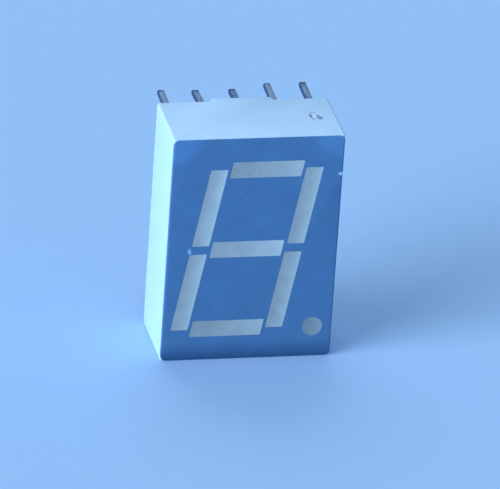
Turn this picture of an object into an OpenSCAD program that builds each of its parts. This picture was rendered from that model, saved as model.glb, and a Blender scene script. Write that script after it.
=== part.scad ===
// Single-digit seven-segment display for through-hole mounting, standing on its lower end.
// +X is the viewer's right, +Y runs from the printed face to the leads, +Z is up the digit.
// The origin is the middle of the lower end, halfway between the printed face and the rear rim.
// The digit and the lead grid set the board, the board sets its recess, and the recess the housing.

/* [Digit] */
// Height of the digit
digit_h = 13.5; // [12:0.1:20]
// Width across the uprights, measured level
digit_w = 8; // [7.2:0.05:8.8]
// Width of a segment
bar_w = 1.22; // [0.9:0.02:1.5]
// Lean of the digit to the right, in degrees
slant = 10; // [5:1:12]
// How far the digit stands left of the housing's middle
digit_shift = 0.4; // [0.1:0.05:0.5]
// How far the digit stands below the housing's middle
digit_drop = 0; // [-0.2:0.05:0.2]
// Gap between an upper and a lower upright
upright_gap = 0.64; // [0.3:0.02:1]
// How far the uprights stop short of the digit's top and bottom
upright_short = 0.56; // [0:0.02:0.9]
// Gap between the end of a level bar and the upright beside it
bar_gap = 0.24; // [0.1:0.02:0.5]
// Rounding of a segment's corners
bar_r = 0.08; // [0.04:0.01:0.2]
// Diameter of the decimal point
dot_d = 1.45; // [1.2:0.05:1.7]
// Decimal point's distance to the right of the digit's middle
dot_out = 5.07; // [4.6:0.01:5.4]
// Decimal point's height above the digit's lower edge
dot_rise = 0.5; // [0.3:0.05:1]

/* [Leads] */
// Distance from lead to lead along a row
lead_pitch = 2.54; // [2.3:0.02:4]
// Distance from the digit's upper and lower edges to the rows of leads, before its drop
row_clear = 0.87; // [0.7:0.01:3]
// Diameter of a lead
lead_d = 0.54; // [0.5:0.01:0.6]
// Length of an untrimmed lead behind the rear rim
lead_out = 4.4; // [3:0.1:7]
// How much thinner than round a lead is across the flats of its coined root
root_in = 0.12; // [0.11:0.01:0.16]
// Length of a lead in front of the board
lead_stub = 0.3; // [0.2:0.05:0.5]
// Diameter of the head that stops a lead against the board
head_d = 0.74; // [0.7:0.02:0.8]
// Thickness of that head
head_t = 0.12; // [0.08:0.02:0.16]
// Slope of the two faces that the cutters leave on a lead's tip, in degrees
snip_angle = 28; // [10:1:45]

/* [Circuit board] */
// Board left beyond the middle of each lead row
board_end = 0.53; // [0.5:0.01:1]
// Board left beyond the middle of the outermost leads
board_flank = 0.57; // [0.5:0.01:2]
// Thickness of the board
board_t = 0.8; // [0.6:0.1:1.2]
// Gap between the board's edges and the recess
board_gap = 0.05; // [0.02:0.01:0.1]
// Thickness of the sealing resin behind the board
seal_t = 0.75; // [0.6:0.05:1.2]
// Width of a copper track
track_w = 0.25; // [0.15:0.05:0.3]
// Thickness of the copper
track_t = 0.035; // [0.03:0.005:0.07]
// Diameter of the filled holes that join the two sides
via_d = 0.2; // [0.15:0.05:0.25]
// Diameter of their pads behind the board
via_pad_d = 0.4; // [0.35:0.05:0.45]
// Diameter of the solder pads behind the board
ring_d = 0.9; // [0.8:0.02:0.96]
// Solder-filled gap round a lead in its hole
solder_gap = 0.05; // [0.045:0.005:0.08]
// Height of the solder fillet on a pad
fillet_h = 0.45; // [0.3:0.05:0.5]

/* [Light-emitting dies] */
// Width of a die
die_w = 0.3; // [0.2:0.02:0.36]
// Height of a die
die_t = 0.2; // [0.12:0.02:0.28]
// Side of the pad that a die sits on
die_pad_w = 0.4; // [0.38:0.01:0.44]
// Side of the pad that a bond wire ends on
wire_pad_w = 0.26; // [0.2:0.02:0.3]
// Gap between these two pads
pad_gap = 0.14; // [0.12:0.02:0.18]
// Diameter of a bond wire
wire_d = 0.04; // [0.03:0.01:0.06]

/* [Housing] */
// Depth from the printed face to the rear rim
body_d = 6.1; // [5.2:0.1:9]
// Rounding of the four long edges
edge_r = 0.15; // [0.05:0.05:0.4]
// Wall round the board recess
wall_t = 0.4; // [0.3:0.05:1]
// Rounding of the recess corners
recess_r = 0.5; // [0.2:0.05:0.6]
// How far the rear rim stands above the sealing resin
rim_h = 0.25; // [0.1:0.05:0.5]
// Width of the foot in the middle of the rim's upper and lower side
foot_w = 4.3; // [2:0.1:4.4]
// How far a foot stands out behind the rim, to hold it off the host board
foot_h = 0.45; // [0.2:0.05:0.8]
// Skin left between the printed face and the cored-out pockets
skin_t = 1; // [0.6:0.1:2]
// Web between a light well and a pocket
web_t = 0.6; // [0.4:0.05:0.9]
// Rounding of the loop pockets' corners
pocket_r = 0.4; // [0.2:0.05:0.8]
// Flank left between a side pocket and the outside
flank_t = 0.9; // [0.7:0.1:1.2]
// Narrowest end of a side pocket
pocket_min = 0.5; // [0.3:0.05:0.8]
// Straight land of a well behind the printed face
land_t = 0.3; // [0.1:0.05:0.8]
// Diameter that a well narrows to just behind the board's face
mouth_d = 1; // [0.9:0.05:1.2]
// Clearance round a lead's head and stub
relief_gap = 0.05; // [0.03:0.01:0.1]

/* [Print] */
// Thickness of the ink
print_t = 0.04; // [0.02:0.01:0.1]
// Bare margin round the ink
print_inset = 0.04; // [0.01:0.01:0.2]
// Rounding of the ink's corners
print_r = 0.42; // [0.2:0.02:0.8]
// Depth of the chip in the ink's right edge
chip_w = 0.45; // [0.2:0.05:0.8]
// Height of that chip
chip_h = 0.28; // [0.1:0.02:0.6]
// Chip's distance below the housing's upper end
chip_drop = 3; // [1:0.1:6]
// Width of the bare fleck beside the lower left segment
fleck_w = 0.2; // [0.1:0.02:0.3]

/* [Hidden] */
$fn = 48;
// How far a cut runs on past what it cuts
over = 0.3;
arc_steps = 4;
leads_per_row = 5;
// How much shorter each lead of the upper row is cut, from left to right
upper_trim = [0.6, 0.75, 0.7, 0, 0];

half_h = digit_h / 2;
half_w = digit_w / 2;
inner_w = half_w - bar_w;
level_w = inner_w - bar_gap;
upright_lo = upright_gap / 2;
upright_hi = half_h - upright_short;

row_gap = digit_h + 2 * row_clear;
row_w = (leads_per_row - 1) * lead_pitch;
board_w = row_w + 2 * board_flank;
board_h = row_gap + 2 * board_end;
recess_w = board_w + 2 * board_gap;
recess_h = board_h + 2 * board_gap;
body_w = recess_w + 2 * wall_t;
body_h = recess_h + 2 * wall_t;
mid_z = body_h / 2;

front_y = -body_d / 2;
rear_y = body_d / 2;
foot_y = rear_y + foot_h;
shell_y = front_y + print_t;
land_y = shell_y + land_t;
pocket_y = front_y + skin_t;
seal_y = rear_y - rim_h;
board_rear_y = seal_y - seal_t;
board_front_y = board_rear_y - board_t;
pad_y = board_front_y - track_t;
track_y = board_rear_y + track_t;

digit_x = -digit_shift;
digit_z = mid_z - digit_drop;
dot_at = [digit_x + dot_out, digit_z - half_h + dot_rise];
hole_r = lead_d / 2 + solder_gap;
root_w = lead_d - root_in;
core_d = 0.8 * root_w;
relief_d = head_d + 2 * relief_gap;

pads_w = die_pad_w + pad_gap + wire_pad_w;
die_off = (die_pad_w - pads_w) / 2;
wire_off = (pads_w - wire_pad_w) / 2;

LIGHTS = ["a", "b", "c", "d", "e", "f", "g", "point"];

// Sides and levels of the seven bars, a to g, measured from the digit's middle before it leans
BARS = [
    [-level_w, level_w, half_h - bar_w, half_h],
    [inner_w, half_w, upright_lo, upright_hi],
    [inner_w, half_w, -upright_hi, -upright_lo],
    [-level_w, level_w, -half_h, bar_w - half_h],
    [-half_w, -inner_w, -upright_hi, -upright_lo],
    [-half_w, -inner_w, upright_lo, upright_hi],
    [-level_w, level_w, -bar_w / 2, bar_w / 2]
];
POINT = len(BARS);

// Direction from each die to the pad of its bond wire, in degrees up from +X
WIRE_TURN = [0, 0, 0, 180, 180, 180, 180, -90];

// Lead that feeds each light, in the order of LIGHTS, and the two leads that all of them share
FED_BY = [7, 6, 4, 2, 1, 9, 10, 5];
SHARED = [3, 8];

// A point of the leaning digit: u across and w up from its middle, as [x, z] on the face
function lean(u, w) = [digit_x + u + w * tan(slant), digit_z + w];

// Corner arc of a leaning bar, round (u, w), from the given angle through a quarter turn
function corner(u, w, r, from) = [
    for (i = [0:arc_steps]) let (angle = from + 90 * i / arc_steps)
        lean(u + r * cos(angle), w + r * sin(angle))];

// Outline of a leaning bar between two sides and two levels, with rounded corners
function outline(sides, r) = concat(
    corner(sides[1] - r, sides[3] - r, r, 0), corner(sides[0] + r, sides[3] - r, r, 90),
    corner(sides[0] + r, sides[2] + r, r, 180), corner(sides[1] - r, sides[2] + r, r, 270));

// Middle of a light on the face, and the places of its two pads
function light_at(i) =
    i == POINT ? dot_at : lean((BARS[i][0] + BARS[i][1]) / 2, (BARS[i][2] + BARS[i][3]) / 2);
function beside(i, off) = light_at(i) + off * [cos(WIRE_TURN[i]), sin(WIRE_TURN[i])];
function die_at(i) = beside(i, die_off);
function wire_at(i) = beside(i, wire_off);

// Leads are counted from the lower left along the lower row, then back along the upper row
function lower(n) = n <= leads_per_row;
function column(n) = lower(n) ? n - 1 : 2 * leads_per_row - n;
function lead_at(n) = [column(n) * lead_pitch - row_w / 2, mid_z + (lower(n) ? -1 : 1) * row_gap / 2];
function tip_y(n) = rear_y + lead_out - (lower(n) ? 0 : upper_trim[column(n)]);

// Extrudes an outline drawn on the face, [x, z], from one depth to another
module slab(y0, y1) {
    translate([0, y1, 0]) rotate([90, 0, 0]) linear_extrude(y1 - y0) children();
}

// Stands a child that rises along +Z at a point of the face and a depth, so that it rises along +Y
module stand(at, y) {
    translate([at[0], y, at[1]]) rotate([-90, 0, 0]) children();
}

module round_rect(w, h, r) {
    translate([0, mid_z]) {
        square([w - 2 * r, h], center = true);
        square([w, h - 2 * r], center = true);
        for (sx = [-1, 1], sz = [-1, 1]) translate([sx * (w / 2 - r), sz * (h / 2 - r)]) circle(r);
    }
}

module light_outline(i) {
    if (i == POINT) translate(dot_at) circle(d = dot_d);
    else polygon(outline(BARS[i], bar_r));
}

// A bar's light well: a straight land, then a funnel that closes on the die
module bar_well(i) {
    hull() {
        slab(front_y - over, land_y) light_outline(i);
        slab(board_front_y, board_front_y + over) translate(light_at(i)) circle(d = mouth_d, $fn = 32);
    }
}

// The decimal point's well: a straight land, then a cone
module point_well() {
    stand(dot_at, 0) rotate_extrude() polygon([
        [0, front_y - over], [dot_d / 2, front_y - over], [dot_d / 2, land_y],
        [mouth_d / 2, board_front_y + over], [0, board_front_y + over]]);
}

module well(i) {
    if (i == POINT) point_well();
    else bar_well(i);
}

// Pocket inside the digit's upper or lower loop, open to the rear: side is 1 upper, -1 lower
module loop_pocket(side) {
    u = inner_w - web_t;
    near = side * (bar_w / 2 + web_t);
    far = side * (half_h - bar_w - web_t);
    slab(pocket_y, board_front_y + over)
        polygon(outline([-u, u, min(near, far), max(near, far)], pocket_r));
}

// Tapered pocket between the digit and one flank, open to the rear: side is -1 left, 1 right
module side_pocket(side) {
    wall_x = side * (body_w / 2 - flank_t);
    edge_u = side * (half_w + web_t);
    room = side * (wall_x - digit_x - edge_u);
    tip = side * (room - pocket_min) / tan(slant);
    above_point = dot_at[1] - digit_z + dot_d / 2 + web_t;
    low = side < 0 ? max(tip, -half_h) : above_point;
    high = side < 0 ? half_h : min(tip, half_h);
    if (high - low > pocket_min) slab(pocket_y, board_front_y + over) polygon([
        [wall_x, digit_z + low], lean(edge_u, low), lean(edge_u, high), [wall_x, digit_z + high]]);
}

// Foot that carries a stretch of the rim's wall on to the host board: side is 1 upper, -1 lower
module rim_foot(side) {
    slab(rear_y - over, foot_y) translate([0, mid_z + side * (body_h - wall_t) / 2])
        square([foot_w, wall_t], center = true);
}

// White moulded reflector: eight light wells, pockets that keep its walls even, board recess, feet
module housing() {
    color("aliceblue") difference() {
        union() {
            slab(shell_y, rear_y) round_rect(body_w, body_h, edge_r);
            for (side = [-1, 1]) rim_foot(side);
        }
        for (i = [0:POINT]) well(i);
        slab(board_front_y, foot_y + over) round_rect(recess_w, recess_h, recess_r);
        for (side = [-1, 1]) {
            loop_pocket(side);
            side_pocket(side);
        }
        for (n = [1:2 * leads_per_row]) stand(lead_at(n), board_front_y - lead_stub - relief_gap)
            cylinder(h = lead_stub + relief_gap + over, d = relief_d);
    }
}

// Ink on the face, with a window for each light, a chipped edge and a bare fleck
module face_print() {
    edge_x = body_w / 2;
    chip_z = body_h - chip_drop;
    color("steelblue") slab(front_y, shell_y) difference() {
        round_rect(body_w - 2 * print_inset, body_h - 2 * print_inset, print_r);
        for (i = [0:POINT]) light_outline(i);
        polygon([
            [edge_x, chip_z + chip_h / 2], [edge_x - 0.7 * chip_w, chip_z + chip_h / 2],
            [edge_x - chip_w, chip_z], [edge_x - 0.4 * chip_w, chip_z - chip_h / 2],
            [edge_x, chip_z - chip_h / 3]]);
        translate(lean(-half_w, -upright_lo) + fleck_w * [-0.25, 1])
            polygon(fleck_w * [[-0.5, -0.7], [0.4, -0.6], [0.5, 0.3], [0.1, 0.8], [-0.4, 0.5]]);
    }
}

// Milky resin cast into one well, round its die and bond wire
module light_guide(i) {
    color("lightsteelblue") difference() {
        intersection() {
            well(i);
            slab(front_y, board_front_y) round_rect(body_w, body_h, edge_r);
        }
        front_pads(i);
        die(i);
        bond_wire(i, track_t);
    }
}

// Light-emitting crystal with a narrower etched top
module die(i) {
    mesa_w = 0.86 * die_w;
    mesa_y = pad_y - 0.85 * die_t;
    color("gold") {
        slab(mesa_y, pad_y) translate(die_at(i)) square(die_w, center = true);
        slab(pad_y - die_t, mesa_y) translate(die_at(i)) square(mesa_w, center = true);
    }
}

// Half loop from the die's top over to its pad, with a straight foot as high as the die.
// Sink drives both ends that far into what they stand on, for a clean cut.
module bond_wire(i, sink = 0) {
    top_y = pad_y - die_t;
    mid = (die_at(i) + wire_at(i)) / 2;
    color("goldenrod") {
        translate([mid[0], top_y, mid[1]]) rotate([180, -WIRE_TURN[i], 0])
            rotate_extrude(angle = 180) translate([(wire_off - die_off) / 2, 0]) circle(d = wire_d, $fn = 16);
        stand(wire_at(i), top_y) cylinder(h = die_t + sink, d = wire_d, $fn = 16);
        if (sink > 0) stand(die_at(i), top_y) cylinder(h = sink, d = wire_d, $fn = 16);
    }
}

module circuit_board() {
    color("darkolivegreen") difference() {
        slab(board_front_y, board_rear_y) round_rect(board_w, board_h, recess_r);
        for (n = [1:2 * leads_per_row]) stand(lead_at(n), board_front_y - over)
            cylinder(h = board_t + 2 * over, r = hole_r);
        for (i = [0:POINT], at = [die_at(i), wire_at(i)]) stand(at, board_front_y - over)
            cylinder(h = board_t + 2 * over, d = via_d, $fn = 24);
    }
}

// Pads on the board's face: one under the die, one under the end of its bond wire
module front_pads(i) {
    slab(pad_y, board_front_y) {
        translate(die_at(i)) square(die_pad_w, center = true);
        translate(wire_at(i)) square(wire_pad_w, center = true);
    }
}

// Track that follows a path of points, with round ends and bends
module track(path) {
    for (k = [1:len(path) - 1]) {
        leg = path[k] - path[k - 1];
        translate(path[k]) rotate(atan2(leg[1], leg[0])) translate([-norm(leg), -track_w / 2])
            square([norm(leg), track_w]);
    }
    for (p = path) translate(p) circle(d = track_w);
}

// Path behind the board from a light's wire pad to the lead that feeds it: the middle bar's
// goes out to the flank first, so that it clears the upper left upright
function feed_path(i) =
    let (from = wire_at(i), to = lead_at(FED_BY[i]))
    i == POINT - 1 ? [from, [to[0], from[1]], to] : [from, to];

// Path behind the board from a die's pad to the shared track down the middle: the decimal
// point's goes up first, so that it clears the lower right upright
function shared_path(i) =
    let (from = die_at(i), turn_z = (light_at(2)[1] + light_at(POINT - 1)[1]) / 2)
    i == POINT ? [from, [from[0], turn_z], [0, turn_z]] : [from, [0, from[1]]];

module rear_copper_outline() {
    for (i = [0:POINT]) {
        track(feed_path(i));
        track(shared_path(i));
        for (at = [die_at(i), wire_at(i)]) translate(at) circle(d = via_pad_d);
    }
    track([for (n = SHARED) lead_at(n)]);
    for (n = concat(FED_BY, SHARED)) translate(lead_at(n)) circle(d = ring_d);
}

// Pads, filled holes and tracks: eight feeds and one shared conductor, none of which touch
module board_copper() {
    color("peru") {
        for (i = [0:POINT]) {
            front_pads(i);
            for (at = [die_at(i), wire_at(i)]) stand(at, board_front_y)
                cylinder(h = board_t, d = via_d, $fn = 24);
        }
        slab(board_rear_y, track_y) difference() {
            rear_copper_outline();
            for (n = [1:2 * leads_per_row]) translate(lead_at(n)) circle(hole_r);
        }
    }
}

// Part of a lead coined square, from its head to the host board, so that it grips its hole.
// Ahead starts it that far in front of its head, for a clean cut.
module lead_root(n, ahead = 0) {
    slab(board_front_y - ahead, foot_y) translate(lead_at(n)) square(root_w, center = true);
}

// Tinned lead: head and stub in front of the board, coined root, round tail with a snipped tip.
// Its core runs on through all of them, and makes them one wire.
module lead(n) {
    at = lead_at(n);
    core_y = board_front_y - lead_stub / 2;
    color("silver") {
        stand(at, board_front_y - lead_stub) cylinder(h = lead_stub, d = lead_d);
        stand(at, board_front_y - head_t) cylinder(h = head_t, d = head_d);
        stand(at, core_y) cylinder(h = foot_y + lead_d - core_y, d = core_d);
        lead_root(n);
        difference() {
            stand(at, foot_y) cylinder(h = tip_y(n) - foot_y, d = lead_d);
            for (side = [-1, 1]) stand(at, tip_y(n)) rotate([side * snip_angle, 0, 0])
                translate([-lead_d, side > 0 ? -2 * lead_d : 0, 0]) cube([2 * lead_d, 2 * lead_d, lead_d]);
        }
    }
}

// Solder that fills each hole round its lead and draws up to a cone on the pad
module solder_joints() {
    color("lightgray") difference() {
        for (n = [1:2 * leads_per_row]) stand(lead_at(n), 0) rotate_extrude() polygon([
            [0, board_front_y], [hole_r, board_front_y], [hole_r, track_y],
            [ring_d / 2, track_y], [lead_d / 2, track_y + fillet_h], [0, track_y + fillet_h]]);
        for (n = [1:2 * leads_per_row]) lead_root(n, over);
    }
}

// Resin that seals the board into the housing and grips the leads
module back_seal() {
    color("ghostwhite") difference() {
        slab(board_front_y, seal_y) round_rect(recess_w, recess_h, recess_r);
        slab(board_front_y - over, board_rear_y) round_rect(board_w, board_h, recess_r);
        slab(board_rear_y, track_y) rear_copper_outline();
        for (n = [1:2 * leads_per_row]) {
            stand(lead_at(n), 0) rotate_extrude() polygon([
                [0, board_rear_y], [ring_d / 2, board_rear_y], [ring_d / 2, track_y],
                [lead_d / 2, track_y + fillet_h], [0, track_y + fillet_h]]);
            lead_root(n);
        }
    }
}

housing();
face_print();
for (i = [0:POINT]) light_guide(i);
for (i = [0:POINT]) die(i);
for (i = [0:POINT]) bond_wire(i);
circuit_board();
board_copper();
for (n = [1:2 * leads_per_row]) lead(n);
solder_joints();
back_seal();
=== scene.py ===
"""Finishes, drawn leads, ink film and sealing resin of a single-digit seven-segment display.

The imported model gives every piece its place. Lengths in the helpers are millimetres until a
mesh is written, and MM turns them into Blender's metres.
"""

import math

import bmesh
import bpy
from bpy.props import FloatProperty, FloatVectorProperty, PointerProperty
from mathutils import Matrix, Vector, geometry, noise


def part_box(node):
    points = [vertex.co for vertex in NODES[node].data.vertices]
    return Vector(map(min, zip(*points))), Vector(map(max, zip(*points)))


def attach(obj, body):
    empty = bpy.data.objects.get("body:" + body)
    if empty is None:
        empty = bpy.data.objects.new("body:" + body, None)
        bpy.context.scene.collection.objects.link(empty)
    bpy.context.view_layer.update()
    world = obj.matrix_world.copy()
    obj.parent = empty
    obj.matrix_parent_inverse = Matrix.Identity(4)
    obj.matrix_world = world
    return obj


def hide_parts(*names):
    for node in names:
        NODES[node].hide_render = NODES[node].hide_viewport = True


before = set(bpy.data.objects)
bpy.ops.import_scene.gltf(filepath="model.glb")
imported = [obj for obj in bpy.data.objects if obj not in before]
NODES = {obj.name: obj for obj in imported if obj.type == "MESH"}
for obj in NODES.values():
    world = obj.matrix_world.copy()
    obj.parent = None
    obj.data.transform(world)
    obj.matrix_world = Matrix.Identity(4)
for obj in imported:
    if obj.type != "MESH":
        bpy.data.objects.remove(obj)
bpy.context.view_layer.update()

bl_info = {
    "name": "Seven-segment display",
    "version": (1, 0, 0),
    "blender": (4, 5, 0),
    "location": "3D View > Sidebar > Display",
    "description": "Finishes, leads, ink and sealing resin of a through-hole digit display",
    "category": "Object",
}

MM = 0.001
BODY = "root"
LIGHTS = ("a", "b", "c", "d", "e", "f", "g", "point")
LEADS = range(1, 11)
# Tangent of the digit's lean to the right
LEAN = math.tan(math.radians(10))
# How close, in millimetres, points lie that count as one, and levels that count as the same
MERGE, LEVEL = 1e-4, 1e-3


# ---------------------------------------------------------------- measures taken from the frame

def box_mm(node):
    """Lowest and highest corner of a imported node, in millimetres."""
    low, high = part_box(node)
    return low / MM, high / MM


HOUSING_LOW, HOUSING_HIGH = box_mm("housing")
FACE_Y = box_mm("face_print")[0].y
SHELL_Y = HOUSING_LOW.y
# The frame's origin lies halfway between the printed face and the rear rim
REAR_Y = -FACE_Y
FOOT_Y = HOUSING_HIGH.y
SEAL_Y = box_mm("back_seal")[1].y
BOARD_REAR_Y = box_mm("circuit_board")[1].y
HALF_W = HOUSING_HIGH.x
MID_Z = (HOUSING_LOW.z + HOUSING_HIGH.z) / 2
HALF_H = HOUSING_HIGH.z - MID_Z
DIGIT_MID_Z = (box_mm("light_guide_a")[1].z + box_mm("light_guide_d")[0].z) / 2


def light_sides(light):
    """Left and right side of a light once its lean is taken out, at the digit's middle height."""
    low, high = box_mm(f"light_guide_{light}")
    if light == "point":
        return low.x, high.x
    return low.x - LEAN * (low.z - DIGIT_MID_Z), high.x - LEAN * (high.z - DIGIT_MID_Z)


def outlines(node, y):
    """Closed outlines, as (x, z) in millimetres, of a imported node's faces that lie at one depth."""
    mesh = bmesh.new()
    mesh.from_mesh(NODES[node].data)
    bmesh.ops.remove_doubles(mesh, verts=mesh.verts, dist=MERGE * MM)
    flat = {f for f in mesh.faces if all(abs(v.co.y / MM - y) < LEVEL for v in f.verts)}
    following = {}
    for face in flat:
        for loop in face.loops:
            if sum(f in flat for f in loop.edge.link_faces) == 1:
                following[loop.vert] = loop.link_loop_next.vert
    found = []
    while following:
        first, vert = next(iter(following.items()))
        path = [first]
        del following[first]
        while vert is not first:
            path.append(vert)
            vert = following.pop(vert)
        found.append([(v.co.x / MM, v.co.z / MM) for v in path])
    mesh.free()
    found.sort(key=lambda path: max(p[0] for p in path) - min(p[0] for p in path), reverse=True)
    return found


# ---------------------------------------------------------------- meshes

def split_long(path, step):
    """The same closed outline with points added, so that no side is longer than step."""
    made = []
    for (ax, az), (bx, bz) in zip(path, path[1:] + path[:1]):
        count = max(1, math.ceil(math.dist((ax, az), (bx, bz)) / step))
        for k in range(count):
            share = k / count
            made.append((ax + share * (bx - ax), az + share * (bz - az)))
    return made


def moved_in(path, depth):
    """A closed outline moved towards its inside by depth, or outwards where depth is negative."""
    area = sum(a[0] * b[1] - b[0] * a[1] for a, b in zip(path, path[1:] + path[:1]))
    turn = 1 if area > 0 else -1
    made = []
    for before, here, after in zip(path[-1:] + path[:-1], path, path[1:] + path[:1]):
        first = (Vector(here) - Vector(before)).normalized()
        second = (Vector(after) - Vector(here)).normalized()
        inward = turn * (Vector((-first.y, first.x)) + Vector((-second.y, second.x)))
        # The least divisor keeps a sharp corner from running far out
        inward = inward / max(inward.length_squared / 2, 0.5)
        made.append((here[0] + depth * inward.x, here[1] + depth * inward.y))
    return made


def holds(path, x, z):
    """Whether a point lies inside a closed outline."""
    odd = False
    for (ax, az), (bx, bz) in zip(path, path[1:] + path[:1]):
        if (az > z) != (bz > z) and x < (bx - ax) * (z - az) / (bz - az) + ax:
            odd = not odd
    return odd


def filled_sheet(outer, holes, guides, spare, depth_at, thickness_at):
    """A closed sheet between outer and holes that faces the side its depths rise from.

    Guides are more closed outlines that its triangles follow, and spare is a list of loose points.
    depth_at gives y at (x, z), and thickness_at how far behind that the hidden face lies, which
    is negative for a sheet that faces the rear.
    """
    points, sides = [], []
    for path in [outer, *holes, *guides]:
        first = len(points)
        points += [Vector(p) for p in path]
        sides += [(first + k, first + (k + 1) % len(path)) for k in range(len(path))]
    points += [Vector(p) for p in spare]
    corners, _, faces, *_ = geometry.delaunay_2d_cdt(points, sides, [], 0, 1e-5)
    mesh = bmesh.new()
    verts = [mesh.verts.new((p.x, depth_at(p.x, p.y), p.y)) for p in corners]
    facing = -1 if thickness_at(0, MID_Z) > 0 else 1
    for face in faces:
        x = sum(corners[k].x for k in face) / len(face)
        z = sum(corners[k].y for k in face) / len(face)
        if holds(outer, x, z) and not any(holds(path, x, z) for path in holes):
            mesh.faces.new([verts[k] for k in face])
    bmesh.ops.delete(mesh, geom=[v for v in mesh.verts if not v.link_faces], context="VERTS")
    for face in mesh.faces:
        face.normal_update()
        if face.normal.y * facing < 0:
            face.normal_flip()
    grown = bmesh.ops.extrude_face_region(mesh, geom=mesh.faces[:], use_keep_orig=True)
    for vert in (g for g in grown["geom"] if isinstance(g, bmesh.types.BMVert)):
        vert.co.y += thickness_at(vert.co.x, vert.co.z)
    bmesh.ops.recalc_face_normals(mesh, faces=mesh.faces)
    return mesh


def new_piece(name, mesh, slot, *nodes):
    """Writes a bmesh in millimetres as a piece that rides on the body and stands for the nodes."""
    bmesh.ops.scale(mesh, vec=(MM, MM, MM), verts=mesh.verts)
    data = bpy.data.meshes.new(name)
    mesh.to_mesh(data)
    mesh.free()
    piece = bpy.data.objects.new(name, data)
    bpy.context.scene.collection.objects.link(piece)
    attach(piece, BODY)
    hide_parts(*nodes)
    return piece


def smooth(piece, degrees=35):
    """Shades a piece smooth, apart from its edges sharper than that."""
    for polygon in piece.data.polygons:
        polygon.use_smooth = True
    piece.data.set_sharp_from_angle(angle=math.radians(degrees))


def dress(node, material):
    """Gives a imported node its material."""
    NODES[node].data.materials.clear()
    NODES[node].data.materials.append(material)
    return NODES[node]


# ---------------------------------------------------------------- material building

def linear(code):
    """Linear colour of an sRGB hex code."""
    shares = [int(code[k:k + 2], 16) / 255 for k in (1, 3, 5)]
    return tuple(c / 12.92 if c <= 0.04045 else ((c + 0.055) / 1.055) ** 2.4 for c in shares)


def toned(colour, share):
    """A colour times a share, or times one share each for its red, green and blue."""
    shares = share if isinstance(share, tuple) else (share,) * 3
    return tuple(c * s for c, s in zip(colour, shares))


def pick(sockets, key):
    """A socket by its number, or the one in use that has that name."""
    if isinstance(key, int):
        return sockets[key]
    return next(s for s in sockets if s.enabled and s.name == key)


def join(tree, node, inputs):
    """Sets a node's inputs, each a number, a colour, a socket, or a node for its first output."""
    for key, value in inputs.items():
        socket = pick(node.inputs, key)
        if isinstance(value, bpy.types.Node):
            value = next(s for s in value.outputs if s.enabled)
        if isinstance(value, bpy.types.NodeSocket):
            tree.links.new(value, socket)
        else:
            socket.default_value = (*value, 1) if socket.type == "RGBA" else value


def add(tree, kind, inputs=None, **settings):
    """Adds a node with its settings and inputs."""
    node = tree.nodes.new("ShaderNode" + kind)
    for name, value in settings.items():
        setattr(node, name, value)
    join(tree, node, inputs or {})
    return node


def start(name, **constants):
    """A material with one shader, whose constants are given by socket name with _ for a space."""
    material = bpy.data.materials.new(name)
    material.use_nodes = True
    tree = material.node_tree
    tree.nodes.clear()
    shader = add(tree, "BsdfPrincipled", {k.replace("_", " "): v for k, v in constants.items()})
    add(tree, "OutputMaterial", {"Surface": shader})
    return material, tree, shader


def place_mm(tree):
    """Position on the object, in millimetres."""
    return add(tree, "VectorMath", {0: add(tree, "TexCoord").outputs["Object"], "Scale": 1 / MM},
               operation="SCALE")


def patches(tree, place, size, low, high, detail=3.0):
    """Cloudy pattern with features of that size in millimetres, from low to high."""
    cloud = add(tree, "TexNoise", {"Vector": place, "Scale": 1 / size, "Detail": detail,
                                   "Roughness": 0.55})
    return add(tree, "MapRange", {"Value": cloud, "From Min": 0.3, "From Max": 0.7,
                                  "To Min": low, "To Max": high})


def spot(tree, place, centre, size, ragged):
    """1 inside a ragged spot that fades to 0 at its edge: its centre and half-sizes in millimetres."""
    across = add(tree, "VectorMath", {0: place, 1: centre}, operation="SUBTRACT")
    scaled = add(tree, "VectorMath", {0: across, 1: size}, operation="DIVIDE")
    reach = add(tree, "VectorMath", {0: scaled}, operation="LENGTH")
    rough = patches(tree, place, max(size) * 0.7, -ragged, ragged)
    total = add(tree, "Math", {0: reach, 1: rough}, operation="ADD")
    return add(tree, "MapRange", {"Value": total, "From Min": 1.0, "From Max": 0.55,
                                  "To Min": 0.0, "To Max": 1.0}, interpolation_type="SMOOTHSTEP")


def scratch(tree, place, start_at, end_at, width):
    """1 along a fine line on the face between two (x, z) points in millimetres, and 0 beside it."""
    begin = Vector((start_at[0], 0, start_at[1]))
    along = Vector((end_at[0], 0, end_at[1])) - begin
    flat = add(tree, "VectorMath", {0: place, 1: (1, 0, 1)}, operation="MULTIPLY")
    off = add(tree, "VectorMath", {0: flat, 1: begin}, operation="SUBTRACT")
    dot = add(tree, "VectorMath", {0: off, 1: along / along.length_squared}, operation="DOT_PRODUCT")
    share = add(tree, "Clamp", {"Value": dot})
    foot = add(tree, "VectorMath", {0: along, "Scale": share}, operation="SCALE")
    gap = add(tree, "VectorMath", {0: off, 1: foot}, operation="DISTANCE")
    return add(tree, "MapRange", {"Value": gap, "From Min": width, "From Max": width * 0.4,
                                  "To Min": 0.0, "To Max": 1.0})


def most(tree, factors):
    """The largest of several factors."""
    total = factors[0]
    for factor in factors[1:]:
        total = add(tree, "Math", {0: total, 1: factor}, operation="MAXIMUM")
    return total


# ---------------------------------------------------------------- settings

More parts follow.
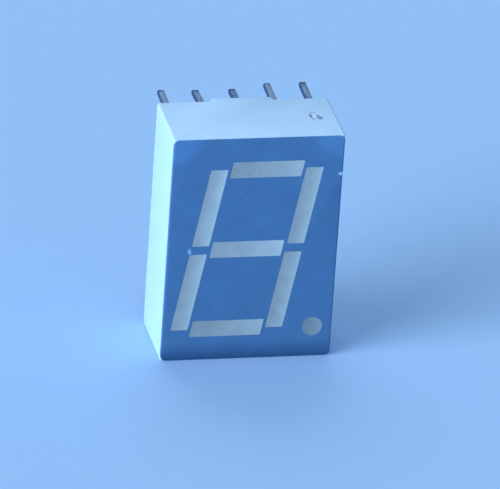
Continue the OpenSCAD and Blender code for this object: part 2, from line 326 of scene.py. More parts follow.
class DisplayShape(bpy.types.PropertyGroup):
    """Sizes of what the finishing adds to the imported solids."""

    front_round: FloatProperty(
        name="Front edge rounding", description="Radius that the ink film follows over the front edges",
        default=0.14 * MM, unit="LENGTH")
    shell_round: FloatProperty(
        name="Shell front rounding", description="Radius of the plastic's front edges under the ink",
        default=0.1 * MM, unit="LENGTH")
    rear_round: FloatProperty(
        name="Rear edge rounding", description="Radius of the edges of the rear rim and its feet",
        default=0.07 * MM, unit="LENGTH")
    ink_thickness: FloatProperty(
        name="Ink thickness", description="Thickness of the ink film",
        default=0.03 * MM, unit="LENGTH")
    climb: FloatProperty(
        name="Resin climb", description="How far the sealing resin draws up the leads",
        default=0.13 * MM, unit="LENGTH")
    sag: FloatProperty(
        name="Resin sag", description="How far the sealing resin shrinks down in the middle",
        default=0.05 * MM, unit="LENGTH")
    squareness: FloatProperty(
        name="Lead squareness", description="How far rolling has squared the leads' round section",
        default=1.0, min=0, max=1, subtype="FACTOR")
    pinch: FloatProperty(
        name="Tip pinch", description="How much the cutters flattened the leads' tips",
        default=0.14, subtype="FACTOR")


class DisplayLook(bpy.types.PropertyGroup):
    """Colours of the finishes."""

    plastic: FloatVectorProperty(
        name="Housing plastic", description="Colour of the moulded housing",
        default=linear("#98CAFC"), size=3, subtype="COLOR", min=0, max=1)
    ink: FloatVectorProperty(
        name="Face ink", description="Colour of the printed face",
        default=linear("#356AA2"), size=3, subtype="COLOR", min=0, max=1)
    # Painted shade and painted light: a light's resin is drawn darker at its left side and paler at its
    # right side
    resin_shaded_side: FloatVectorProperty(
        name="Light resin, shaded side", description="Colour of a light at its left side",
        default=linear("#7A96A9"), size=3, subtype="COLOR", min=0, max=1)
    resin_lit_side: FloatVectorProperty(
        name="Light resin, lit side", description="Colour of a light at its right side",
        default=linear("#90B4C8"), size=3, subtype="COLOR", min=0, max=1)
    tin: FloatVectorProperty(
        name="Lead tin", description="Colour of the tinned leads",
        default=linear("#7796BE"), size=3, subtype="COLOR", min=0, max=1)
    # Also the colour of the painted shade on the leads' left flanks
    tarnish_and_shade: FloatVectorProperty(
        name="Lead tarnish", description="Colour of the tarnish on the leads",
        default=linear("#2E4C7E"), size=3, subtype="COLOR", min=0, max=1)
    seal: FloatVectorProperty(
        name="Sealing resin", description="Colour of the resin behind the board",
        default=linear("#A9CDEE"), size=3, subtype="COLOR", min=0, max=1)


class DisplayStage(bpy.types.PropertyGroup):
    """Floor, lamps and camera."""

    floor: FloatVectorProperty(
        name="Floor", description="Colour of the floor",
        default=linear("#8BBCF5"), size=3, subtype="COLOR", min=0, max=1)
    key: FloatProperty(
        name="Key lamp", description="Strength of the lamp at the left and a little in front",
        default=5.05)
    rear: FloatProperty(
        name="Rear lamp", description="Strength of the lamp behind", default=0.75)
    sky: FloatProperty(
        name="Sky", description="Strength of the light from all round", default=0.42)
    azimuth: FloatProperty(
        name="Camera azimuth", description="How far the camera stands round to the right",
        default=math.radians(-13.46), subtype="ANGLE")
    elevation: FloatProperty(
        name="Camera elevation", description="How far the camera stands above the horizon",
        default=math.radians(26.07), subtype="ANGLE")
    roll: FloatProperty(
        name="Camera roll", description="How far the camera leans, right side up",
        default=math.radians(4.01), subtype="ANGLE")
    distance: FloatProperty(
        name="Camera distance", description="From the camera to the point that it aims at",
        default=562.0 * MM, unit="LENGTH")
    lens: FloatProperty(
        name="Focal length", description="Focal length of the camera, in millimetres",
        default=576, unit="CAMERA")


# ---------------------------------------------------------------- materials

def moulded_polycarbonate(look):
    """White-filled polycarbonate, injection moulded in a spark-eroded tool: even pale colour, broad
    soft highlight, a very fine grain, and a nick on the upper end, with painted shade round its rim
    and a painted highlight in its bottom."""
    material, tree, shader = start("Polycarbonate_white_moulded", IOR=1.58)
    place = place_mm(tree)
    cloud = patches(tree, place, 2.6, 0.0, 1.0)
    body = add(tree, "Mix", {"Factor": cloud, "A": toned(look.plastic, 0.94), "B": look.plastic},
               data_type="RGBA")
    # Spark-eroded grain, about 0.03 mm on the real tool, drawn 0.12 mm wide so that it shows
    grain = patches(tree, place, 0.12, 0.0, 1.0, detail=2.0)
    speckle = add(tree, "MapRange", {"Value": grain, "To Min": 0.965, "To Max": 1.02})
    body = add(tree, "VectorMath", {0: body, "Scale": speckle}, operation="SCALE")
    # The nick lies near the right end of the upper edge, and a painted highlight lightens its bottom
    top = HOUSING_HIGH.z
    pit = spot(tree, place, (4.60, 0.13, top), (0.42, 0.72, 0.4), ragged=0.2)
    nick_highlight = spot(tree, place, (4.53, 0.18, top), (0.15, 0.27, 0.2), ragged=0.3)
    rim_shade = []
    # Painted shade round the rim: two spots at its right, one at its left and one on its far side
    for centre, size, share in (((4.77, 0.20), (0.19, 0.40), 0.7), ((4.89, -0.20), (0.22, 0.32), 0.85),
                                ((4.29, 0.20), (0.16, 0.30), 0.6), ((4.62, 0.68), (0.26, 0.16), 0.4)):
        mark = spot(tree, place, (*centre, top), (*size, 0.3), ragged=0.35)
        rim_shade.append(add(tree, "Math", {0: mark, 1: share}, operation="MULTIPLY"))
    body = add(tree, "Mix", {"Factor": most(tree, rim_shade), "A": body, "B": linear("#3F5F96")},
               data_type="RGBA")
    # Painted highlight: the nick's bottom is drawn paler
    highlight_share = add(tree, "Math", {0: nick_highlight, 1: 0.7}, operation="MULTIPLY")
    body = add(tree, "Mix", {"Factor": highlight_share, "A": body, "B": linear("#B4E4FA")}, data_type="RGBA")
    level = add(tree, "Math", {0: 1.0, 1: pit}, operation="SUBTRACT")
    sunk = add(tree, "Bump", {"Height": level, "Distance": 0.05 * MM})
    join(tree, shader, {
        "Base Color": body,
        "Roughness": patches(tree, place, 1.2, 0.46, 0.58),
        "Normal": add(tree, "Bump", {"Height": grain, "Distance": 0.0022 * MM, "Normal": sunk}),
    })
    return material


def printed_ink(look, fleck):
    """Epoxy ink, screen printed and baked: flat deep blue with a weak sheen and a faint orange peel,
    with painted shade darkening it towards the lower edge and painted light paling it at the upper
    corners, a few fine scratches, and a fleck at that (x, z) where it is worn almost through."""
    material, tree, shader = start("Epoxy_ink_screen_printed", IOR=1.5)
    place = place_mm(tree)
    cloud = patches(tree, place, 1.6, 0.0, 1.0)
    body = add(tree, "Mix", {"Factor": cloud, "A": toned(look.ink, 0.93), "B": toned(look.ink, 1.06)},
               data_type="RGBA")
    height = add(tree, "SeparateXYZ", {"Vector": place}).outputs["Z"]
    # Painted shade near the floor: the ink is drawn darker over the lowest 1.65 mm, and darker still
    # below 0.4 mm
    for begins, ends, share, shaded_tone in ((0.0, 1.65, 1.0, (0.31, 0.5, 0.6)),
                                       (0.1, 0.4, 0.5, (0.1, 0.36, 0.44))):
        floor_shade = add(tree, "MapRange", {"Value": height, "From Min": begins, "From Max": ends,
                                      "To Min": share, "To Max": 0.0},
                   interpolation_type="SMOOTHSTEP")
        body = add(tree, "Mix", {"Factor": floor_shade, "A": body, "B": toned(look.ink, shaded_tone)},
                   data_type="RGBA")
    # Painted light: the ink is drawn paler towards the upper corners
    corners = [spot(tree, place, (side * HALF_W, SHELL_Y, HOUSING_HIGH.z), (2.6, 2.6, 2.2), ragged=0.1)
               for side in (-1, 1)]
    corner_light = add(tree, "Math", {0: most(tree, corners), 1: 0.7}, operation="MULTIPLY")
    body = add(tree, "Mix", {"Factor": corner_light, "A": body, "B": toned(look.ink, 1.36)}, data_type="RGBA")
    marks = most(tree, [
        scratch(tree, place, (-1.03, DIGIT_MID_Z + 4.42), (-0.63, DIGIT_MID_Z + 3.91), 0.045),
        scratch(tree, place, (-2.42, DIGIT_MID_Z - 4.68), (-2.01, DIGIT_MID_Z - 4.42), 0.04),
        scratch(tree, place, (-3.07, DIGIT_MID_Z - 4.02), (-2.74, DIGIT_MID_Z - 4.11), 0.035),
        scratch(tree, place, (1.94, DIGIT_MID_Z - 6.91), (2.28, DIGIT_MID_Z - 6.73), 0.04),
    ])
    worn = add(tree, "Math", {0: marks, 1: 0.14}, operation="MULTIPLY")
    body = add(tree, "Mix", {"Factor": worn, "A": body, "B": linear("#8FB4E0")}, data_type="RGBA")
    bare = spot(tree, place, (fleck[0] + 0.02, FACE_Y, fleck[1] + 0.04), (0.17, 0.3, 0.28), ragged=0.3)
    bare = add(tree, "Math", {0: bare, 1: 0.6}, operation="MULTIPLY")
    body = add(tree, "Mix", {"Factor": bare, "A": body, "B": linear("#7CC4EC")}, data_type="RGBA")
    peel = patches(tree, place, 0.3, 0.0, 1.0, detail=1.0)
    join(tree, shader, {
        "Base Color": body,
        "Roughness": patches(tree, place, 0.9, 0.44, 0.54),
        "Normal": add(tree, "Bump", {"Height": peel, "Distance": 0.0016 * MM}),
    })
    return material


# How bright each light's resin is, since its powder settled differently in each well
TONES = {"a": 0.95, "b": 1.0, "c": 0.97, "d": 0.93, "e": 1.03, "f": 1.08, "g": 1.07, "point": 0.685}


def cast_resin(look, light):
    """Epoxy with diffusing powder, cast in the light wells: milky and satin, with painted shade at the
    left side of each light and painted light at its right side, as light from the left falls into its
    well."""
    material, tree, shader = start(f"Epoxy_milky_cast_{light}", IOR=1.53)
    sides, tone = light_sides(light), TONES[light]
    place = place_mm(tree)
    apart = add(tree, "SeparateXYZ", {"Vector": place})
    lean = 0.0 if light == "point" else LEAN
    rise = add(tree, "Math", {0: apart.outputs["Z"], 1: -lean, 2: lean * DIGIT_MID_Z},
               operation="MULTIPLY_ADD")
    level = add(tree, "Math", {0: apart.outputs["X"], 1: rise}, operation="ADD")
    across = add(tree, "MapRange", {"Value": level, "From Min": sides[0], "From Max": sides[1]})
    across = add(tree, "Math", {0: across, 1: 1.4}, operation="POWER")
    drift = patches(tree, place, 0.8, -0.18, 0.18)
    share = add(tree, "Math", {0: across, 1: drift}, operation="ADD", use_clamp=True)
    # The point is small, and the blue ink round it shows a little in its resin
    tint = (0.93, 1.0, 1.1) if light == "point" else (1.0, 1.0, 1.0)
    # Painted shade and light: from the shaded colour at the left side to the lit colour at the right
    body = add(tree, "Mix", {"Factor": share, "A": toned(toned(look.resin_shaded_side, tint), tone),
                             "B": toned(toned(look.resin_lit_side, tint), tone)}, data_type="RGBA")
    # Diffusing powder, drawn as grains of 0.1 mm so that they show
    powder = patches(tree, place, 0.1, 0.965, 1.035, detail=1.0)
    body = add(tree, "VectorMath", {0: body, "Scale": powder}, operation="SCALE")
    waves = patches(tree, place, 0.5, 0.0, 1.0, detail=1.0)
    join(tree, shader, {
        "Base Color": body,
        "Roughness": patches(tree, place, 0.7, 0.3, 0.4),
        "Normal": add(tree, "Bump", {"Height": waves, "Distance": 0.0015 * MM}),
    })
    return material


# How much more than the others each lead has tarnished, and the same for its root
WEAR = {6: (0.22, 0.1), 7: (0.0, -0.45), 8: (0.4, 0.0), 9: (0.1, 0.1), 10: (0.05, 0.1)}


def tinned_wire(look, number):
    """Copper wire, drawn and hot tinned, then stored for years: a dull, bluish metal with darker
    tarnish where it has been cut and in faint streaks along the draw, and painted shade on its left
    flank."""
    material, tree, shader = start(f"Tinned_copper_drawn_tarnished_{number}")
    place = place_mm(tree)
    drawn = add(tree, "VectorMath", {0: place, 1: (1, 0.12, 1)}, operation="MULTIPLY")
    streaks = patches(tree, drawn, 0.16, -0.2, 0.2, detail=1.0)
    clouds = patches(tree, place, 0.7, 0.0, 0.4)
    share = add(tree, "Math", {0: streaks, 1: clouds}, operation="ADD")
    overall, rooted = WEAR.get(number, (0.0, 0.0))
    tip_y = box_mm(f"lead_{number}")[1].y
    back = add(tree, "SeparateXYZ", {"Vector": place}).outputs["Y"]
    root = add(tree, "MapRange", {"Value": back, "From Min": REAR_Y, "From Max": tip_y - 0.8,
                                  "To Min": overall + rooted, "To Max": overall})
    cut = add(tree, "MapRange", {"Value": back, "From Min": tip_y - 0.7, "From Max": tip_y - 0.1,
                                 "To Min": 0.0, "To Max": 0.85}, interpolation_type="SMOOTHSTEP")
    # Painted shade: faces turned to the left are drawn towards the tarnish colour
    facing = add(tree, "SeparateXYZ", {"Vector": add(tree, "TexCoord").outputs["Normal"]}).outputs["X"]
    left_flank_shade = add(tree, "MapRange", {"Value": facing, "From Min": -0.3, "From Max": -0.8,
                                   "To Min": 0.0, "To Max": 0.8}, interpolation_type="SMOOTHSTEP")
    for part in (root, cut, left_flank_shade):
        share = add(tree, "Math", {0: share, 1: part}, operation="ADD")
    share = add(tree, "Clamp", {"Value": share})
    join(tree, shader, {
        "Base Color": add(tree, "Mix", {"Factor": share, "A": look.tin, "B": look.tarnish_and_shade},
                          data_type="RGBA"),
        "Metallic": add(tree, "MapRange", {"Value": share, "To Min": 1.0, "To Max": 0.55}),
        "Roughness": add(tree, "MapRange", {"Value": share, "To Min": 0.3, "To Max": 0.6}),
        "Normal": add(tree, "Bump", {"Height": streaks, "Distance": 0.002 * MM}),
    })
    return material


def sheared_copper():
    """Copper core bared where the cutters went through, oxidised since: dark grey and rough."""
    material, tree, shader = start("Copper_sheared_oxidised")
    place = place_mm(tree)
    shear = add(tree, "VectorMath", {0: place, 1: (0.2, 1, 1)}, operation="MULTIPLY")
    marks = patches(tree, shear, 0.04, 0.0, 1.0)
    join(tree, shader, {
        "Base Color": add(tree, "Mix", {"Factor": marks, "A": linear("#383A48"),
                                        "B": linear("#7C7880")}, data_type="RGBA"),
        "Metallic": 0.8,
        "Roughness": 0.5,
        "Normal": add(tree, "Bump", {"Height": marks, "Distance": 0.006 * MM}),
    })
    return material


def potted_epoxy(look):
    """Filled epoxy, poured and cured behind the board: glossy, slightly uneven in colour, with fine
    flow marks and pin-prick bubbles, with painted shade inside the bubbles."""
    material, tree, shader = start("Epoxy_white_potted", IOR=1.54)
    place = place_mm(tree)
    cloud = patches(tree, place, 2.2, 0.0, 1.0)
    body = add(tree, "Mix", {"Factor": cloud, "A": toned(look.seal, 0.9), "B": look.seal},
               data_type="RGBA")
    # A bubble about every 1.6 mm
    cells = add(tree, "TexVoronoi", {"Vector": place, "Scale": 1 / 1.6, "Randomness": 1.0})
    # 0 inside a bubble and 1 beside it
    whole = add(tree, "MapRange", {"Value": cells.outputs["Distance"], "From Min": 0.03,
                                   "From Max": 0.07, "To Min": 0.0, "To Max": 1.0})
    # Painted shade: the inside of each bubble is drawn darker
    body = add(tree, "Mix", {"Factor": whole, "A": toned(look.seal, 0.78), "B": body},
               data_type="RGBA")
    flow = add(tree, "Bump", {"Height": cloud, "Distance": 0.01 * MM})
    join(tree, shader, {
        "Base Color": body,
        "Roughness": patches(tree, place, 1.5, 0.16, 0.3),
        "Normal": add(tree, "Bump", {"Height": whole, "Distance": 0.03 * MM, "Normal": flow}),
    })
    return material


def laminate():
    """Glass-cloth epoxy laminate: brownish green, with the weave showing through the resin."""
    material, tree, shader = start("Glass_epoxy_laminate", IOR=1.55, Roughness=0.35)
    place = place_mm(tree)
    threads = []
    for turn in (0.0, math.pi / 2):
        turned = add(tree, "Mapping", {"Vector": place, "Rotation": (0, turn, 0)})
        # A wave's bands lie 0.314 over its scale apart, which puts the threads about 0.5 mm apart
        threads.append(add(tree, "TexWave", {"Vector": turned, "Scale": 1 / (0.5 * math.pi)},
                           bands_direction="X"))
    weave = most(tree, threads)
    join(tree, shader, {
        "Base Color": add(tree, "Mix", {"Factor": weave, "A": linear("#4F5A30"),
                                        "B": linear("#77824A")}, data_type="RGBA"),
        "Normal": add(tree, "Bump", {"Height": weave, "Distance": 0.01 * MM}),
    })
    return material


def metal(name, dark, bright, size, low, high, depth):
    """A bare metal that varies between two colours in patches of that size, with the roughness from
    low to high and a relief of that depth, both lengths in millimetres."""
    material, tree, shader = start(name, Metallic=1.0)
    place = place_mm(tree)
    cloud = patches(tree, place, size, 0.0, 1.0)
    join(tree, shader, {
        "Base Color": add(tree, "Mix", {"Factor": cloud, "A": linear(dark), "B": linear(bright)},
                          data_type="RGBA"),
        "Roughness": add(tree, "MapRange", {"Value": cloud, "To Min": high, "To Max": low}),
        "Normal": add(tree, "Bump", {"Height": cloud, "Distance": depth * MM}),
    })
    return material


def etched_copper():
    """Electro-deposited copper foil, etched: warm, matt, with a slight brown bloom."""
    return metal("Copper_foil_etched", "#A9643C", "#D99468", 0.4, 0.35, 0.55, 0.002)


def frozen_solder():
    """Tin-lead solder, wave soldered: silvery, with a fine frosted crystal pattern."""
    return metal("Solder_tin_lead_frozen", "#A8ABB0", "#D3D5D8", 0.12, 0.22, 0.42, 0.003)


def bond_gold():
    """Pure gold wire, drawn and annealed: bright and smooth."""
    return metal("Gold_wire_drawn", "#E0A94A", "#F6CC74", 0.05, 0.15, 0.25, 0.0005)


def sawn_crystal():
    """Gallium phosphide, sawn and etched: amber, glassy on top, with frosted sides."""
    material, tree, shader = start("Gallium_phosphide_sawn", IOR=3.2)
    place = place_mm(tree)
    cloud = patches(tree, place, 0.06, 0.0, 1.0)
    join(tree, shader, {
        "Base Color": add(tree, "Mix", {"Factor": cloud, "A": linear("#9C6A1E"),
                                        "B": linear("#D9A640")}, data_type="RGBA"),
        "Roughness": add(tree, "MapRange", {"Value": cloud, "To Min": 0.25, "To Max": 0.5}),
        "Normal": add(tree, "Bump", {"Height": cloud, "Distance": 0.002 * MM}),
    })
    return material


def floor_card(stage):
    """Matt coated card: plain, pale, without a sheen."""
    material, tree, shader = start("Card_pale_matt", IOR=1.45, Roughness=0.9)
    fibre = patches(tree, place_mm(tree), 1.4, 0.0, 1.0)
    body = add(tree, "Mix", {"Factor": fibre, "A": toned(stage.floor, 0.985), "B": stage.floor},
               data_type="RGBA")
    join(tree, shader, {"Base Color": body})
    return material


# ---------------------------------------------------------------- operators

class DISPLAY_OT_stage(bpy.types.Operator):
    """Pale floor, soft lamps and the camera"""

    bl_idname = "display.stage"
    bl_label = "Stage"

    def execute(self, context):
        scene, stage = context.scene, context.scene.display_stage
        data = bpy.data.meshes.new("floor")
        reach = 1500 * MM
        corners = [(-reach, -reach, 0), (reach, -reach, 0), (reach, reach, 0), (-reach, reach, 0)]
        data.from_pydata(corners, [], [(0, 1, 2, 3)])
        data.materials.append(floor_card(stage))
        floor = bpy.data.objects.new("floor", data)
        scene.collection.objects.link(floor)

        # The key lamp is a touch warm and the sky a touch cool, as daylight is
        for name, strength, spread, tint, towards in (
                ("key", stage.key, 46, (1.1, 1, 1), (0.88, 0.37, -0.25)),
                ("rear", stage.rear, 40, (1, 1, 1), (0.02, -0.64, -0.77))):
            data = bpy.data.lights.new(name, "SUN")
            data.energy = strength
            data.angle = math.radians(spread)
            data.color = tint
            lamp = bpy.data.objects.new(name, data)
            lamp.rotation_mode = "QUATERNION"
            lamp.rotation_quaternion = Vector(towards).to_track_quat("-Z", "Y")
            scene.collection.objects.link(lamp)

        world = bpy.data.worlds.new("studio")
        world.use_nodes = True
        world.node_tree.nodes.clear()
        tree = world.node_tree
        # The camera sees the floor's own colour behind the floor, and all else sees the sky
        path = add(tree, "LightPath")
        seen = add(tree, "Background", {"Color": stage.floor, "Strength": 1.0})
        sky = add(tree, "Background", {"Color": (0.9, 1, 1), "Strength": stage.sky})
        both = add(tree, "MixShader", {0: path.outputs["Is Camera Ray"], 1: sky, 2: seen})
        add(tree, "OutputWorld", {"Surface": both})
        scene.world = world

        camera = bpy.data.objects.new("camera", bpy.data.cameras.new("camera"))
        camera.data.lens = stage.lens
        camera.data.clip_end = 10
        back = Vector((math.sin(stage.azimuth) * math.cos(stage.elevation),
                       -math.cos(stage.azimuth) * math.cos(stage.elevation),
                       math.sin(stage.elevation)))
        # A little to the right of the digit's middle and below it
        aim = Vector((0.53, 0.0, 7.41)) * MM
        turn = (-back).to_track_quat("-Z", "Y").to_matrix() @ Matrix.Rotation(stage.roll, 3, "Z")
        eye = aim + back * stage.distance
        camera.matrix_world = Matrix.LocRotScale(eye, turn.to_quaternion(), None)
        scene.collection.objects.link(camera)
        scene.camera = camera
        scene.view_settings.view_transform = "Standard"
        return {"FINISHED"}


def edge_group(node, name, chosen):
    """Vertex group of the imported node's points, in millimetres, that are chosen."""
    group = node.vertex_groups.new(name=name)
    group.add([v.index for v in node.data.vertices if chosen(v.co / MM)], 1.0, "REPLACE")


def round_edges(node, name, width):
    """Rounds the edges between the points of a vertex group."""
    bevel = node.modifiers.new(name, "BEVEL")
    bevel.width = width
    bevel.segments = 3
    bevel.limit_method = "VGROUP"
    bevel.vertex_group = name
    bevel.use_clamp_overlap = False
    bevel.loop_slide = False


class DISPLAY_OT_housing(bpy.types.Operator):
    """Moulded housing with its sharp edges broken"""

    bl_idname = "display.housing"
    bl_label = "Housing"

    def execute(self, context):
        shape, look = context.scene.display_shape, context.scene.display_look
        piece = dress("housing", moulded_polycarbonate(look))
        recess = outlines("back_seal", SEAL_Y)[0]
        reach_x = max(x for x, _ in recess) + LEVEL
        reach_z = max(z for _, z in recess) - MID_Z + LEVEL

        def outside(p):
            return abs(p.x) > reach_x or abs(p.z - MID_Z) > reach_z

        edge_group(piece, "front_edge", lambda p: abs(p.y - SHELL_Y) < LEVEL and outside(p))
        edge_group(piece, "rear_edge", lambda p: p.y > REAR_Y - LEVEL)
        weld = piece.modifiers.new("weld", "WELD")
        weld.merge_threshold = MERGE * MM
        flat = piece.modifiers.new("flat", "DECIMATE")
        flat.decimate_type = "DISSOLVE"
        flat.angle_limit = math.radians(1)
        round_edges(piece, "front_edge", shape.shell_round)
        round_edges(piece, "rear_edge", shape.rear_round)
        smooth(piece)
        return {"FINISHED"}


class DISPLAY_OT_ink(bpy.types.Operator):
    """Ink film that runs over the front edges"""

    bl_idname = "display.ink"
    bl_label = "Ink film"

    def execute(self, context):
        shape, look = context.scene.display_shape, context.scene.display_look
        turn = shape.front_round / MM
        thickness = shape.ink_thickness / MM
        # The last and narrowest opening is the worn fleck, which the ink's finish draws instead
        printed, *windows, fleck = outlines("face_print", FACE_Y)
        middle = [(min(p[k] for p in fleck) + max(p[k] for p in fleck)) / 2 for k in (0, 1)]
        print_high = box_mm("face_print")[1]
        bare = HALF_H - (print_high.z - MID_Z)
        # The film runs on almost to the side edges, and ends below the upper edge as it is printed
        widen = (HALF_W - 0.1 * bare) / print_high.x
        outer = [(x * widen, z) for x, z in printed]

        def depth_at(x, z):
            inside = max(0.0, min(HALF_W - abs(x), HALF_H - abs(z - MID_Z)))
            if inside >= turn:
                return FACE_Y
            return FACE_Y + turn - math.sqrt(max(0.0, turn ** 2 - (turn - inside) ** 2))

        guides = []
        steps = 5
        for k in range(1, steps + 1):
            inside = turn * (1 - math.cos(math.radians(90) * k / steps))
            w, h = HALF_W - inside, HALF_H - inside
            guides.append([(-w, MID_Z - h), (w, MID_Z - h), (w, MID_Z + h), (-w, MID_Z + h)])
        mesh = filled_sheet(outer, windows, guides, [], depth_at, lambda x, z: thickness)
        piece = new_piece("ink_film", mesh, "face_ink", "face_print")
        piece.data.materials.append(printed_ink(look, middle))
        smooth(piece)
        return {"FINISHED"}


class DISPLAY_OT_lights(bpy.types.Operator):
    """Milky resin of the seven bars and the decimal point"""

    bl_idname = "display.lights"
    bl_label = "Light guides"

    def execute(self, context):
        for light in LIGHTS:
            smooth(dress(f"light_guide_{light}", cast_resin(context.scene.display_look, light)))
        return {"FINISHED"}


class DISPLAY_OT_inside(bpy.types.Operator):
    """Circuit board, copper, solder, dies and bond wires"""

    bl_idname = "display.inside"
    bl_label = "Inner parts"

    def execute(self, context):
        smooth(dress("circuit_board", laminate()))
        smooth(dress("board_copper", etched_copper()))
        smooth(dress("solder_joints", frozen_solder()))
        crystal, gold = sawn_crystal(), bond_gold()
        for light in LIGHTS:
            dress(f"die_{light}", crystal)
            smooth(dress(f"bond_wire_{light}", gold))
        return {"FINISHED"}


# How far each lead stands off, in millimetres: across just behind the rim, then across and up at
# its tip, with the lead's number first
BENDS = {1: (0.10, 0.30, 0.03), 2: (0.0, -0.04, 0.05), 3: (0.0, 0.06, -0.03), 4: (0.0, 0.02, 0.04),
         5: (0.0, -0.06, 0.02), 6: (0.12, 0.17, 0.02), 7: (0.10, 0.14, 0.0), 8: (0.03, 0.02, -0.02),
         9: (-0.02, -0.10, 0.0), 10: (-0.03, 0.0, 0.01)}


def square_up(x, z, squareness):
    """Scale that takes a point of the round wire to the rounded square that the rolls left it."""
    reach = math.hypot(x, z)
    if reach < 1e-6:
        return 1.0
    power = 2 + 4 * squareness
    bulge = (abs(x / reach) ** power + abs(z / reach) ** power) ** (-1 / power)
    return bulge * (1 - 0.16 * squareness)


class DISPLAY_OT_leads(bpy.types.Operator):
    """Tinned leads, slightly bent, with tips pinched by the cutters"""

    bl_idname = "display.leads"
    bl_label = "Leads"

    def execute(self, context):
        shape, look = context.scene.display_shape, context.scene.display_look
        sheared = sheared_copper()
        for number in LEADS:
            self.lead(number, shape.pinch, shape.squareness, (tinned_wire(look, number), sheared))
        return {"FINISHED"}

    def lead(self, number, pinch, squareness, finishes):
        low, high = box_mm(f"lead_{number}")
        axis = Vector(((low.x + high.x) / 2, 0, (low.z + high.z) / 2))
        length = high.y - REAR_Y
        mesh = bmesh.new()
        mesh.from_mesh(NODES[f"lead_{number}"].data)
        bmesh.ops.scale(mesh, vec=(1 / MM,) * 3, verts=mesh.verts)
        bmesh.ops.remove_doubles(mesh, verts=mesh.verts, dist=MERGE)
        bmesh.ops.dissolve_limit(mesh, angle_limit=math.radians(1), verts=mesh.verts, edges=mesh.edges)
        # The rim of the cut tip is blunted a little
        tip_edges = [e for e in mesh.edges
                     if all(v.co.y > high.y - 0.3 for v in e.verts) and e.calc_face_angle(0) > 0.3]
        bmesh.ops.bevel(mesh, geom=tip_edges, offset=0.02, segments=2, affect="EDGES", profile=0.5)
        # The tail leaves its coined root round, and turns square over this length
        settle = 0.06
        # Rings cut the tail into short lengths that can bend
        lengths = 16
        rings = [REAR_Y + (length - 0.15) * k / lengths for k in range(1, lengths)]
        for cut in [FOOT_Y + settle] + [ring for ring in rings if abs(ring - FOOT_Y) > 2 * settle]:
            bmesh.ops.bisect_plane(mesh, geom=mesh.verts[:] + mesh.edges[:] + mesh.faces[:],
                                   plane_co=(0, cut, 0), plane_no=(0, 1, 0))
        root_x, tip_x, tip_z = BENDS[number]
        pinched, cut_end = 0.6, 0.2
        for vert in mesh.verts:
            along = (vert.co.y - REAR_Y) / length
            if along <= 0:
                continue
            flat = pinch * max(0.0, 1 - (high.y - vert.co.y) / pinched) ** 2
            off = vert.co - axis
            squared = squareness * min(1.0, max(0.0, vert.co.y - FOOT_Y) / settle)
            off *= square_up(off.x, off.z, squared)
            # Each lead takes its own line through the noise
            sway = noise.noise(Vector((number * 3.7, vert.co.y * 0.8, 0))) * 0.02 * along
            lean = root_x * min(1.0, along * 8) + (tip_x - root_x) * along ** 1.4
            vert.co.x = axis.x + off.x * (1 + 0.5 * flat) + lean + sway
            vert.co.z = axis.z + off.z * (1 - flat) + tip_z * along ** 1.4
        mesh.normal_update()
        for face in mesh.faces:
            if face.calc_center_median().y > high.y - cut_end and face.normal.y > 0.5:
                face.material_index = 1
        piece = new_piece(f"tinned_lead_{number}", mesh, "lead_tin", f"lead_{number}")
        for finish in finishes:
            piece.data.materials.append(finish)
        smooth(piece)


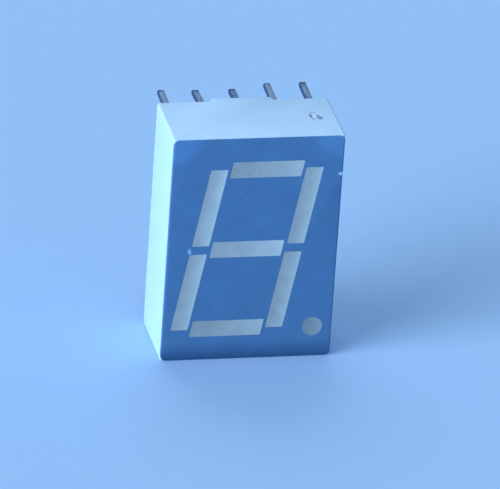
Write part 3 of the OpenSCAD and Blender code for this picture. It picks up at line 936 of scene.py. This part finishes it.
class DISPLAY_OT_seal(bpy.types.Operator):
    """Sealing resin drawn up round the leads and along the rim"""

    bl_idname = "display.seal"
    bl_label = "Sealing resin"

    def execute(self, context):
        shape, look = context.scene.display_shape, context.scene.display_look
        climb, sag = shape.climb / MM, shape.sag / MM
        outer, *holes = outlines("back_seal", SEAL_Y)
        outer = split_long(outer, 0.4)
        centres = [(sum(x for x, _ in hole) / len(hole), sum(z for _, z in hole) / len(hole))
                   for hole in holes]
        half = (max(x for x, _ in holes[0]) - min(x for x, _ in holes[0])) / 2
        reach_x, reach_z = max(x for x, _ in outer), max(z for _, z in outer) - MID_Z

        # How far out the skin drawn up a lead and a wall falls off, and the sag sets in
        lead_skirt, wall_skirt, slump = 0.11, 0.16, 0.9

        def depth_at(x, z):
            wall = max(0.0, min(reach_x - abs(x), reach_z - abs(z - MID_Z)))
            lead = max(0.0, min(max(abs(x - cx), abs(z - cz)) for cx, cz in centres) - half)
            middle = 1 - math.exp(-min(wall, lead) / slump)
            rise = climb * math.exp(-lead / lead_skirt) + 0.6 * climb * math.exp(-wall / wall_skirt)
            ripple = 0.012 * noise.noise(Vector((x * 0.9, z * 0.9, 0)))
            return SEAL_Y + rise + (ripple - sag) * middle

        guides = [moved_in(outer, inset) for inset in (0.05, 0.12, 0.24, 0.45)]
        for hole in holes:
            hole = split_long(hole, 0.1)
            guides += [moved_in(hole, -offset) for offset in (0.04, 0.1, 0.2)]
        step = 0.42
        spare = []
        for row in range(int(2 * reach_z / step)):
            for column in range(int(2 * reach_x / step)):
                x = (column + 0.5 + 0.5 * (row % 2)) * step - reach_x
                z = (row + 0.5) * step - reach_z + MID_Z
                clear = min(reach_x - abs(x), reach_z - abs(z - MID_Z)) > 0.55
                if clear and all(max(abs(x - cx), abs(z - cz)) > half + 0.3 for cx, cz in centres):
                    spare.append((x, z))
        mesh = filled_sheet(outer, holes, guides, spare, depth_at,
                            lambda x, z: BOARD_REAR_Y - depth_at(x, z))
        piece = new_piece("potting", mesh, "seal_resin", "back_seal")
        piece.data.materials.append(potted_epoxy(look))
        smooth(piece, degrees=50)
        return {"FINISHED"}


class VIEW3D_PT_display(bpy.types.Panel):
    """The steps that finish the display, in order"""

    bl_label = "Seven-segment display"
    bl_space_type = "VIEW_3D"
    bl_region_type = "UI"
    bl_category = "Display"

    def draw(self, context):
        for step in STEPS:
            self.layout.operator(step.bl_idname)


STEPS = (DISPLAY_OT_stage, DISPLAY_OT_housing, DISPLAY_OT_ink, DISPLAY_OT_lights,
         DISPLAY_OT_inside, DISPLAY_OT_leads, DISPLAY_OT_seal)
GROUPS = {"display_shape": DisplayShape, "display_look": DisplayLook, "display_stage": DisplayStage}


def register():
    for group in GROUPS.values():
        bpy.utils.register_class(group)
    for name, group in GROUPS.items():
        setattr(bpy.types.Scene, name, PointerProperty(type=group))
    for step in STEPS:
        bpy.utils.register_class(step)
    bpy.utils.register_class(VIEW3D_PT_display)


def unregister():
    bpy.utils.unregister_class(VIEW3D_PT_display)
    for step in reversed(STEPS):
        bpy.utils.unregister_class(step)
    for name in GROUPS:
        delattr(bpy.types.Scene, name)
    for group in GROUPS.values():
        bpy.utils.unregister_class(group)


def main():
    register()
    bpy.ops.display.stage()
    bpy.ops.display.housing()
    bpy.ops.display.ink()
    bpy.ops.display.lights()
    bpy.ops.display.inside()
    bpy.ops.display.leads()
    bpy.ops.display.seal()


if __name__ == "__main__":
    main()
